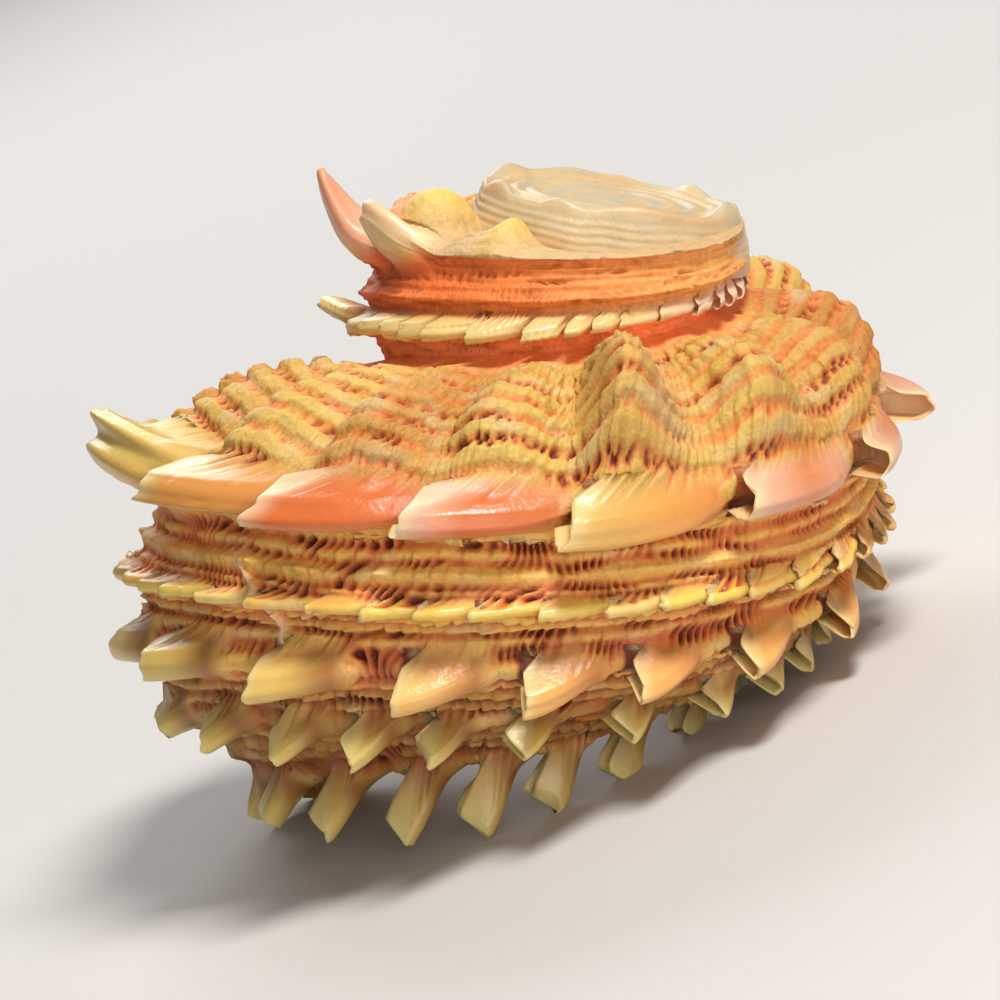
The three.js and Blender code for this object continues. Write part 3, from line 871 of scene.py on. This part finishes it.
# %% [markdown]
# ## Two finishes
#
# Both are one kind of shader with other numbers: chalk is rough, lets a little light in and has strong
# specks, and pearl is smooth with a thin clear coat. A spine's height is stored on the mesh, so the
# chalk passes to a shine, and its specks fade, as a spine rises.

# %% Finishes
def attribute(tree, name, output):
    """A value that the mesh holds for each of its vertices."""
    made = tree.nodes.new("ShaderNodeAttribute")
    made.attribute_name = name
    return made.outputs[output]


def finish(name, rough, strength, bump, rough_on_spines=None, **settings):
    """A Principled finish whose colour is the mesh's own tint with the grain mixed in.

    Where a second roughness is given, the surface passes from the first to it as a spine rises."""
    material = bpy.data.materials.new(name)
    material.use_nodes = True
    tree = material.node_tree
    shader = tree.nodes["Principled BSDF"]
    for key, value in settings.items():
        shader.inputs[key.replace("_", " ")].default_value = value
    level = attribute(tree, "Level", "Fac")
    share = spread(tree, level, (0.0, 0.4), (strength, 0.3 * strength))
    grain = tree.nodes.new("ShaderNodeGroup")
    grain.node_tree = GRAIN
    tree.links.new(share, grain.inputs["Strength"])
    tree.links.new(attribute(tree, "Tint", "Color"), grain.inputs["Colour"])
    tree.links.new(grain.outputs["Colour"], shader.inputs["Base Color"])
    height = maths(tree, "MULTIPLY", share, grain.outputs["Height"])
    raised = node(tree, "ShaderNodeBump", Height=height, Distance=bump, Strength=1.0)
    tree.links.new(raised.outputs["Normal"], shader.inputs["Normal"])
    if rough_on_spines is None:
        shader.inputs["Roughness"].default_value = rough
    else:
        gloss = spread(tree, level, (0.0, 0.5), (rough, rough_on_spines))
        tree.links.new(gloss, shader.inputs["Roughness"])
    return material


OUTSIDE = finish("Chalky outside", 0.6, 0.5, 0.00018, 0.28, Subsurface_Weight=0.15, Subsurface_Scale=0.001)
OUTSIDE.node_tree.nodes["Principled BSDF"].inputs["Subsurface Radius"].default_value = (1.0, 0.5, 0.3)
PEARL = finish("Pearly inside", 0.3, 0.25, 0.00003, Coat_Weight=0.4, Coat_Roughness=0.15)
print("finishes:", OUTSIDE.name, "and", PEARL.name)

# %% [markdown]
# ## The keel and its spines
#
# The keel is the shell's shoulder edge. Its spines are long rolls that nearly touch: the newest are
# yellow, the next coral with pale tips, and the last two, on the spire, stand up free. They are measured
# in shares of the keel radius where they stand, so that the young ones come out small.

# %% Keel
coarser = 1.0


def band(name, turns, places, line_step, station_step, row=None, measured_at=0.3, close_sides=True):
    """A strip of the outside, from its first and last turn and place and its two spacings in mm."""
    rows = [row] if row is not None and close_sides else []
    across = stations(*places, station_step * coarser, measured_at, rows)
    strip(name, lines(*turns, line_step * coarser, row), across, OUTSIDE, row)


SHOWN = 16
spines = np.arange(SHOWN)
forked, curled, free_standing = spines == 1, spines == 14, spines >= 14
at_spines = SHOULDER_TURNS[:SHOWN]
radius_there = keel_radius(at_spines)
gaps = np.diff(SHOULDER_TURNS)[:SHOWN]
reach, rise, lean = SHOULDER[:SHOWN, 1:].T * radius_there
keel_row = row_of(
    at_spines, KEEL, reach=reach, rise=rise, lean=0.85 * lean,
    half_width=np.select([forked, ~free_standing], [0.125, 0.088], 0.12) * radius_there,
    back=gaps * 2 * np.pi * radius_there - FOOT - 0.3,
    depth=0.11 * radius_there, wall=np.where(free_standing, 0.11, 0.09) * radius_there,
    fork=np.where(forked, 0.35, 0.0), early=np.where(free_standing, 0.3, 0.75), skew=0.2,
    stand=np.where(curled, 0.6, 0.0), curl=np.where(curled, 0.9, 0.0),
    tuck=np.where(free_standing, 0.0, 0.35),
)
band("keel_new", (0.0, 0.5), (0.7, 2.95), 0.21, 0.2, keel_row)
band("keel_old", (0.5, 1.5), (0.7, 2.95), 0.28, 0.25, keel_row)

# %% [markdown]
# ## The ramp
#
# The ramp slopes from the suture to the keel. Nine scaly cords run round it, and a fold crosses them to
# each shoulder spine. It carries the finest relief of the shell, so its faces are the smallest, and it
# is made in three lengths, each with faces to suit its age.

# %% Ramp
band("ramp_new", (0.0, 0.5), (0.0, 0.72), 0.16, 0.125)
band("ramp_old", (0.5, 1.05), (0.0, 0.72), 0.18, 0.15)
band("ramp_spire", (1.05, 2.15), (0.0, 0.72), 0.14, 0.12, measured_at=1.3)

# %% [markdown]
# ## The rows below the keel
#
# Below the keel runs a row of small scales, and then three rows of spines that stand out more and more
# steeply towards the underside, where the lowest tips reach the ground. One spine could be copied
# round, but no two are alike on the shell, so each row is made at once with sizes that vary a little.

# %% Rows below the keel
def uneven(n):
    """A size that differs a little from spine to spine, the same at every run."""
    return 1 + 0.2 * np.sin(12.9 * n) + 0.1 * np.cos(7.1 * n)


def lower_row(station, count, first, gap, out, up, lean, half_width, back, depth, wall, early, stand,
              foot=FOOT):
    """A row of nearly evenly spaced spines, first and gap in degrees; the newest are the shortest.

    out, up, lean, half_width and back are shares of the keel radius; depth and wall are millimetres."""
    n = np.arange(count)
    turns = (first + gap * (n + 0.16 * np.sin(5.1 * n))) / 360
    grown = mix(0.5, 1.05, smooth(turns, 0, 0.35))
    r = keel_radius(turns)
    return row_of(
        turns, station, reach=out * grown * uneven(n) * r, rise=up * grown * uneven(n + 3) * r,
        lean=lean * uneven(n + 7) ** 2 * r, half_width=half_width * uneven(n + 5) * r, back=back * r,
        depth=depth * grown, wall=wall * grown, early=early, stand=stand, foot=foot,
    )


scale_row = lower_row(CORD_ROW, 43, 6, 8.9, 0.052, -0.02, 0.04, 0.036, 0.11, 0.8, 0.8, 0.7, 0.0, foot=0.8)
second_row = lower_row(SECOND, 21, 20, 20, 0.105, -0.08, 0.085, 0.066, 0.19, 2.2, 2.1, 0.5, 0.15)
third_row = lower_row(THIRD, 22, 14, 15.5, 0.09, -0.10, 0.05, 0.052, 0.10, 2.0, 2.1, 0.2, 0.5)
fourth_row = lower_row(FOURTH, 17, 16, 19, 0.06, -0.175, 0.035, 0.052, 0.10, 2.4, 2.2, 0.0, 0.7)
band("scales", (0.0, 1.02), (2.92, 5.05), 0.2, 0.18, scale_row)
band("second_new", (0.0, 0.5), (5.0, 7.05), 0.2, 0.18, second_row)
band("second_old", (0.5, 1.02), (5.0, 7.05), 0.22, 0.18, second_row)
band("third", (0.0, 1.02), (6.97, 9.05), 0.24, 0.21, third_row)
band("fourth", (0.0, 1.02), (8.97, 11.6), 0.29, 0.26, fourth_row)
band("navel", (0.0, 1.3), (11.5, 14), 0.45, 0.45)

# %% [markdown]
# ## The spire
#
# The spire is what is left in sight of the older whorls. The newer whorl hides all of them below the
# second row, which shows as a collar of small pale jags, and its oldest spine is a small horn that
# sticks out. It is the same coil carried on, with smaller faces.

# %% Spire
spire_n = np.arange(19)
spire_turns = 1.035 + 0.032 * spire_n + 0.009 * np.sin(5 * spire_n)
tall = spire_n == 0
jag = 1.15 * uneven(spire_n) ** 2
spire_row = row_of(
    spire_turns, SECOND, reach=np.where(tall, 4.6, jag), rise=np.where(tall, 0.6, -0.5 * jag),
    lean=np.where(tall, 2.0, 1.0 * uneven(spire_n + 4)),
    half_width=np.where(tall, 1.15, 0.95 * uneven(spire_n + 2)),
    back=np.where(tall, 2.2, 3.2), depth=np.where(tall, 0.9, 0.4), wall=np.where(tall, 1.3, 0.5),
    early=0.7, foot=0.8, stand=np.where(tall, 0.6, 0.0), tuck=np.where(tall, 0.0, 0.35),
)
band("spire_flank", (1.0, 2.1), (2.9, 8.6), 0.16, 0.14, spire_row, measured_at=1.2, close_sides=False)
band("spire_keel", (1.5, 2.15), (0.7, 2.95), 0.16, 0.12, measured_at=1.5)

# %% [markdown]
# ## The mouth
#
# The mouth is the open end of the tube that the animal lived in, round and lined with mother-of-pearl.
# The tube is an ellipse carried along the coil, which closes deep inside, out of sight. The lip is a
# thin ring that joins the outside's last line to the tube's first. The two lines differ in shape, so
# each point of the outer one looks for its own angle on the ellipse, and no gap is left.

# %% Mouth
HOLLOW_CENTRE = (0.655, -0.2)
HOLLOW_WIDTH, HOLLOW_SLANT, HOLLOW_HEIGHT = 0.265, 0.1, 0.43


def inner_ring(turns, angle, narrow=1.0):
    """An ellipse slanted in the section, in shares of the keel radius: the wall of the hollow."""
    out = HOLLOW_CENTRE[0] + narrow * (HOLLOW_WIDTH * np.cos(angle) - HOLLOW_SLANT * np.sin(angle))
    up = HOLLOW_CENTRE[1] + narrow * HOLLOW_HEIGHT * np.sin(angle)
    r = keel_radius(turns)
    return out * r, keel_height(turns) + up * r


tube_turns = np.linspace(-0.004, 0.62, 180)[:, None]
tube_angles = np.linspace(0, 2 * np.pi, 121)[None, :]
closing = np.sqrt(np.clip(1 - (tube_turns / 0.63) ** 8, 0, 1)) * mix(1, 0.92, smooth(tube_turns, 0, 0.05))
tube = in_space(tube_turns, *inner_ring(tube_turns, tube_angles, closing + 0 * tube_angles))
sheen = 0.5 + 0.5 * np.sin(3 * tube_angles + 9 * tube_turns)
pearl_tone = mix(LIP_WHITE, PEARL_PINK, sheen[..., None])
sheet("pearl", tube, pearl_tone, PEARL, closed=True, Level=np.zeros(tube.shape[:2]))

rim_places = stations(0.0, 14.0, 0.15 * coarser, 0.0)
outer = np.stack(section(np.zeros_like(rim_places), rim_places), -1)
outer = np.concatenate([outer, mix(outer[-1], outer[0], np.linspace(0.03, 1, 40)[:, None])])
lip_radius = keel_radius(0.0)
centre = np.array([HOLLOW_CENTRE[0] * lip_radius, keel_height(0.0) + HOLLOW_CENTRE[1] * lip_radius])
toward = outer - centre
upward = toward[:, 1] / HOLLOW_HEIGHT
facing = np.arctan2(upward, (toward[:, 0] + HOLLOW_SLANT * upward) / HOLLOW_WIDTH)
inner = np.stack(inner_ring(np.zeros_like(facing), facing), -1)
inwards = np.linspace(0, 1, 18)[:, None, None]
loop = mix(outer[None], inner[None], inwards)
bulge = -0.004 * np.sin(np.pi * inwards[..., 0])
lip = in_space(bulge + 0 * loop[..., 0], loop[..., 0], loop[..., 1])
lip_tone = mix(GREENISH, LIP_WHITE, smooth(inwards, 0.1, 0.5)) + 0 * loop[..., :1]
sheet("lip", lip[:, ::-1], lip_tone[:, ::-1], PEARL, closed=True, Level=np.zeros(lip.shape[:2]))

# %% [markdown]
# ## The worn top
#
# The oldest whorls have been worn into one blunt plate, grey and cream in layers, with a chipped rim.
# Wearing down a modelled coil would be long work for little, so the plate is made as it looks: a disc
# from its middle to the rim, and on down over the edge to the whorl below, with an uneven outline.

# %% Top
RIM = 0.62
EDGE_DROP, LAYER = 3.9, 0.62
out_and_down = np.linspace(0, 1, 110)[:, None]
angles = np.linspace(0, 2 * np.pi, 321)[None, :]
east, north = np.cos(angles), np.sin(angles)
edge = 8.75 + 1.15 * np.cos(angles - 0.5) + 0.25 * np.cos(2 * angles)
edge = edge + 0.18 * wobble(5 * east, 5 * north, 37) + 0.07 * wobble(16 * east, 16 * north, 38)
on_top = np.clip(out_and_down / RIM, 0, 1)
down = np.clip((out_and_down - RIM) / (1 - RIM), 0, 1)
drop = EDGE_DROP * down**1.15
layer = np.sin(2 * np.pi * (drop / LAYER + 0.35 * wobble(3 * east, 3 * north + drop, 39)))
chips = 0.14 * layer + 0.9 * wobble(6 * east, 6 * north + 1.2 * drop, 40)
radius = edge * (on_top + 0.13 * down) + down * (1 - down) * chips
x, y = radius * east, radius * north
ridges = np.sin(11 * on_top**1.5 * np.pi + wobble(x * 0.5, y * 0.5, 46)) * smooth(on_top, 0.3, 0.7)
peaks = 0.75 * np.exp(-(((on_top - 0.93) / 0.09) ** 2))
peaks = peaks * np.clip(0.3 + 0.9 * wobble(x * 0.9, y * 0.9, 41), 0, 1.3) * (1 - smooth(down, 0, 0.2))
dish = -0.45 - 0.25 * (1 - on_top)
height = dish + 0.1 * ridges + peaks - drop + 0.07 * wobble(x * 1.3, y * 1.3, 43)
plate = np.stack(np.broadcast_arrays(x, y, height), -1)
rings = 0.5 + 0.5 * np.sin(8 * on_top * np.pi + 2 * wobble(x * 0.5, y * 0.5, 47))
layers = np.where(out_and_down < RIM, rings, 0.5 + 0.3 * layer)
stain = np.clip(wobble(x * 0.6, y * 0.6 + height, 48), 0, 1)
plate_tone = mix(mix(GREY, CREAM, layers[..., None]), CREAM, 0.5 * down[..., None])
plate_tone = mix(plate_tone, colour(200, 150, 96), 0.5 * stain[..., None])
plate_tone = mix(plate_tone, ORANGE, 0.5 * smooth(down, 0.75, 1.0)[..., None])
plate_level = 0.3 + np.zeros(plate.shape[:2])
sheet("top", plate[:, ::-1], plate_tone[:, ::-1], OUTSIDE, closed=True, Level=plate_level)

# %% [markdown]
# ## Floor and light
#
# The photograph is lit from above and the right by one soft source, with weak light from the front. A
# square lamp gives that soft edge to the shadows. The floor and the sky are plain and pale, so that
# nothing but the shell has a colour.

# %% Stage
bpy.ops.mesh.primitive_plane_add(size=3)
floor = bpy.context.object
floor.name = "floor"
floor_finish = bpy.data.materials.new("Pale floor")
floor_finish.use_nodes = True
floor_shader = floor_finish.node_tree.nodes["Principled BSDF"]
floor_shader.inputs["Base Color"].default_value = (0.62, 0.61, 0.6, 1)
floor_shader.inputs["Roughness"].default_value = 0.8
floor.data.materials.append(floor_finish)

world = bpy.data.worlds.new("Studio")
bpy.context.scene.world = world
world.use_nodes = True
sky = world.node_tree.nodes["Background"]
sky.inputs["Color"].default_value = (1.0, 0.97, 0.92, 1)
sky.inputs["Strength"].default_value = 0.18


def lamp(name, place, width, power, tone=(1, 1, 1)):
    """A square lamp that faces the middle of the shell."""
    light = bpy.data.lights.new(name, "AREA")
    light.size, light.energy, light.color = width, power, tone
    piece = bpy.data.objects.new(name, light)
    piece.location = place
    piece.rotation_euler = (Vector((0, 0, 0.02)) - Vector(place)).to_track_quat("-Z", "Y").to_euler()
    bpy.context.collection.objects.link(piece)
    print(name, "lamp:", power, "watts")


lamp("key", (0.22, -0.14, 0.45), 0.14, 2.75, (1, 0.96, 0.9))
lamp("fill", (0.15, -0.5, 0.12), 0.3, 0.9, (1, 0.95, 0.88))
lamp("back", (-0.1, 0.4, 0.3), 0.3, 1.2)

# %% [markdown]
# ## Camera
#
# The camera stands where the photograph was taken from. Its tilt, roll and distance are given about the
# coiling axis, in the shell's own millimetres, and it looks at the point that is in the middle of the
# picture, so it needs no shift. The lean that sets the shell down carries the camera along with it.

# %% Camera
TILT, ROLL, DISTANCE = math.radians(8.441), math.radians(7.009), 430.875
PICTURE, PIXEL = 1000, 0.07
AXIS_ACROSS, AXIS_DOWN = 592.15, 232.31
SENSOR = 36
ahead = Vector((0, math.cos(TILT), -math.sin(TILT)))
right, upright = Vector((1, 0, 0)), Vector((0, math.sin(TILT), math.cos(TILT)))
side = right * math.cos(ROLL) + upright * math.sin(ROLL)
above = -right * math.sin(ROLL) + upright * math.cos(ROLL)
aim = Vector((0, 0, float(keel_height(np.array(4 / 3)))))
eye = aim - DISTANCE * ahead
middle = aim + (PICTURE / 2 - AXIS_ACROSS) * PIXEL * side - (PICTURE / 2 - AXIS_DOWN) * PIXEL * above
look = (middle - eye).normalized()
view_up = (above - look * above.dot(look)).normalized()
view_side = look.cross(view_up)
camera_data = bpy.data.cameras.new("Camera")
camera_data.sensor_width = SENSOR
camera_data.lens = SENSOR * (middle - eye).length / (PICTURE * PIXEL)
camera_data.clip_start, camera_data.clip_end = 0.01, 10
camera = bpy.data.objects.new("Camera", camera_data)
bpy.context.collection.objects.link(camera)
turned = Matrix((LEAN @ view_side, LEAN @ view_up, -(LEAN @ look))).transposed()
camera.matrix_world = Matrix.Translation((LEAN @ eye + SET_DOWN) / 1000) @ turned.to_4x4()
bpy.context.scene.camera = camera
bpy.context.scene.view_settings.view_transform = "Standard"
print("lens:", round(camera_data.lens), "mm")
